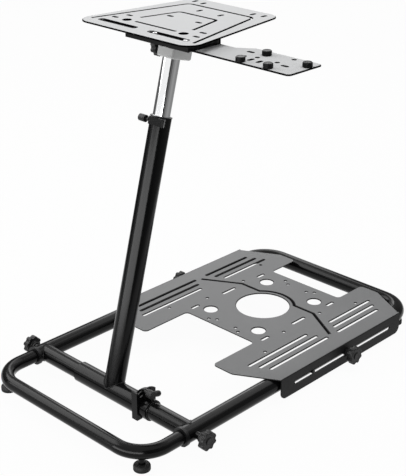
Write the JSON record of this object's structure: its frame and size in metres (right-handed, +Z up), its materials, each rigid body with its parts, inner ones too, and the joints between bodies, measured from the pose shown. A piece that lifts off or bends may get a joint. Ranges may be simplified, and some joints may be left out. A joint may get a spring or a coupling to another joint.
{
  "type": "racing wheel stand",
  "caption": "tubular floor stand with a tilting, height-adjustable column, a slotted wheel plate, a side shifter plate and a sliding perforated pedal plate",
  "frame": {"origin": "the middle of the bottom of the whole stand's box, on the floor", "axes": "+X is the driver's right, +Y runs forward from the driver to the pedals, +Z is up"},
  "size_m": [0.6446, 0.9096, 0.794],
  "materials": {
    "frame_coat": "satin black powder coat",
    "column_coat": "satin charcoal powder coat",
    "pedal_coat": "satin dark grey powder coat",
    "wheel_coat": "satin silver powder coat",
    "shifter_coat": "satin silver powder coat",
    "bright_chrome": "polished chrome plate",
    "cast_head": "bead-blasted cast aluminium",
    "knob_plastic": "fine-grained black moulding",
    "bushing_plastic": "smooth black moulding",
    "foot_rubber": "dull black rubber",
    "zinc_steel": "bright zinc plate",
    "thumb_plastic": "black moulding with a pale top"
  },
  "bodies": {
    "frame": {"frame_tube": "frame_coat", "crossbar": "frame_coat", "bushing_left": "bushing_plastic", "bushing_right": "bushing_plastic", "lock_ring": "frame_coat", "guide_pin_left": "zinc_steel", "guide_pin_right": "zinc_steel", "foot_rear_left": "foot_rubber", "foot_rear_right": "foot_rubber", "foot_stud_rear_left": "frame_coat", "foot_stud_rear_right": "frame_coat"},
    "hoop": {"front_hoop": "frame_coat", "foot_front_left": "foot_rubber", "foot_front_right": "foot_rubber", "foot_stud_front_left": "frame_coat", "foot_stud_front_right": "frame_coat"},
    "pedals": {"pedal_plate": "pedal_coat"},
    "column": {"tilt_sleeve": "frame_coat", "index_saddle": "column_coat", "column_tube": "column_coat", "clamp_boss": "column_coat", "column_cap": "bushing_plastic"},
    "post": {"post_tube": "bright_chrome", "post_glide": "bushing_plastic", "head_block": "cast_head"},
    "wheel_mount": {"tongue": "frame_coat", "plate_carrier": "frame_coat", "wheel_plate": "wheel_coat", "shifter_plate": "shifter_coat", "shifter_spacer": "frame_coat", "thumb_nut_1": "thumb_plastic", "thumb_nut_2": "thumb_plastic", "thumb_nut_3": "thumb_plastic", "thumb_nut_4": "thumb_plastic", "wheel_bolt_1": "zinc_steel", "wheel_bolt_2": "zinc_steel"},
    "frame_clamp_left": {"frame_knob_left": "knob_plastic"},
    "frame_clamp_right": {"frame_knob_right": "knob_plastic"},
    "pedal_clamp_left": {"pedal_knob_left": "knob_plastic"},
    "pedal_clamp_right": {"pedal_knob_right": "knob_plastic"},
    "tilt_lock": {"lock_lever": "knob_plastic"},
    "height_clamp": {"height_knob": "knob_plastic"},
    "head_clamp": {"head_knob": "knob_plastic"}
  },
  "joints": [
    {"name": "column_tilt", "type": "hinge", "parent": "frame", "child": "column", "pos_m": [-0.0382, -0.30415, 0.04], "axis": [-1, 0, 0], "range_deg": [-15, 20]},
    {"name": "column_height", "type": "slide", "parent": "column", "child": "post", "axis": [0, 0.2588, 0.9659], "range_m": [-0.1, 0.08]},
    {"name": "wheel_plate_tilt", "type": "hinge", "parent": "post", "child": "wheel_mount", "pos_m": [-0.0382, -0.11676, 0.73933], "axis": [1, 0, 0], "range_deg": [-15, 15]},
    {"name": "base_length", "type": "slide", "parent": "frame", "child": "hoop", "axis": [0, -1, 0], "range_m": [-0.035, 0.09]},
    {"name": "pedal_plate_slide", "type": "slide", "parent": "frame", "child": "pedals", "axis": [0, 1, 0], "range_m": [-0.15, 0.05]},
    {"name": "tilt_lock_turn", "type": "hinge", "parent": "frame", "child": "tilt_lock", "pos_m": [0.0578, -0.30614, 0.07795], "axis": [1, 0, 0], "range_deg": [0, 150]},
    {"name": "height_clamp_turn", "type": "hinge", "parent": "column", "child": "height_clamp", "pos_m": [-0.0462, -0.17818, 0.60671], "axis": [-1, 0, 0], "continuous": true},
    {"name": "head_clamp_turn", "type": "hinge", "parent": "post", "child": "head_clamp", "pos_m": [-0.0382, -0.11676, 0.73933], "axis": [-1, 0, 0], "continuous": true},
    {"name": "frame_clamp_left_turn", "type": "hinge", "parent": "frame", "child": "frame_clamp_left", "pos_m": [-0.2688, -0.30415, 0.04], "axis": [-1, 0, 0], "continuous": true},
    {"name": "pedal_clamp_left_turn", "type": "hinge", "parent": "frame", "child": "pedal_clamp_left", "pos_m": [-0.2688, 0.16985, 0.037], "axis": [-1, 0, 0], "continuous": true},
    {"name": "frame_clamp_right_turn", "type": "hinge", "parent": "frame", "child": "frame_clamp_right", "pos_m": [0.1924, -0.30415, 0.04], "axis": [1, 0, 0], "continuous": true},
    {"name": "pedal_clamp_right_turn", "type": "hinge", "parent": "frame", "child": "pedal_clamp_right", "pos_m": [0.1924, 0.16985, 0.037], "axis": [1, 0, 0], "continuous": true}
  ]
}
